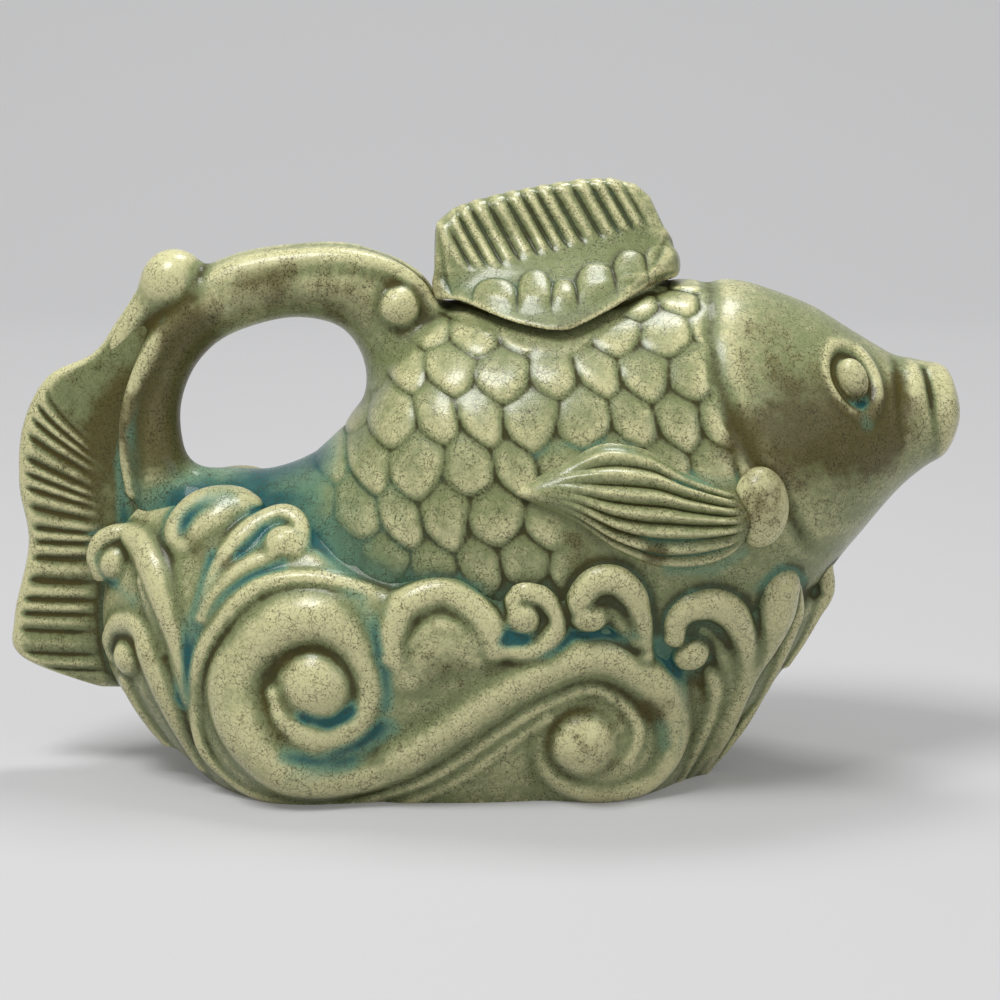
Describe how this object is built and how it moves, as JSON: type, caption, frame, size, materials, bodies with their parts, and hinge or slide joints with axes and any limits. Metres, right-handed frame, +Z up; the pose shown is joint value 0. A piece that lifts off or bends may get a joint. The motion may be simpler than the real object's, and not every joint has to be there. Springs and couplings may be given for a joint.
{
  "type": "fish-shaped teapot",
  "caption": "Glazed stoneware teapot shaped as a carp rising from waves: the mouth pours, the looped tail is the handle and the dorsal fin lifts off as the lid.",
  "frame": {"origin": "on the foot's resting plane, under the middle of the whole object", "axes": "+X towards the pouring mouth, +Y towards the carp's left side, +Z up"},
  "size_m": [0.2363, 0.0936, 0.1482],
  "materials": {
    "fish_glaze": "glossy sage celadon, olive in the creases, fine crackle and iron specks",
    "wave_glaze": "glossy cream celadon with teal pools in the grooves",
    "fin_glaze": "glossy olive celadon with dark grooves between the ribs",
    "lid_glaze": "glossy grey-green celadon with olive grooves"
  },
  "bodies": {
    "pot": {"fish_body": "fish_glaze", "wave_base": "wave_glaze", "handle": "fish_glaze", "tail_fin": "fin_glaze", "pectoral_fin_right": "fin_glaze", "pectoral_fin_left": "fin_glaze", "eye_right": "fish_glaze", "eye_left": "fish_glaze"},
    "lid": {"lid_cap": "lid_glaze", "lid_flange": "lid_glaze", "dorsal_fin": "lid_glaze"}
  },
  "joints": [
    {"name": "lid_lift", "type": "slide", "parent": "pot", "child": "lid", "axis": [0, 0, 1], "range_m": [0, 0.05]}
  ]
}
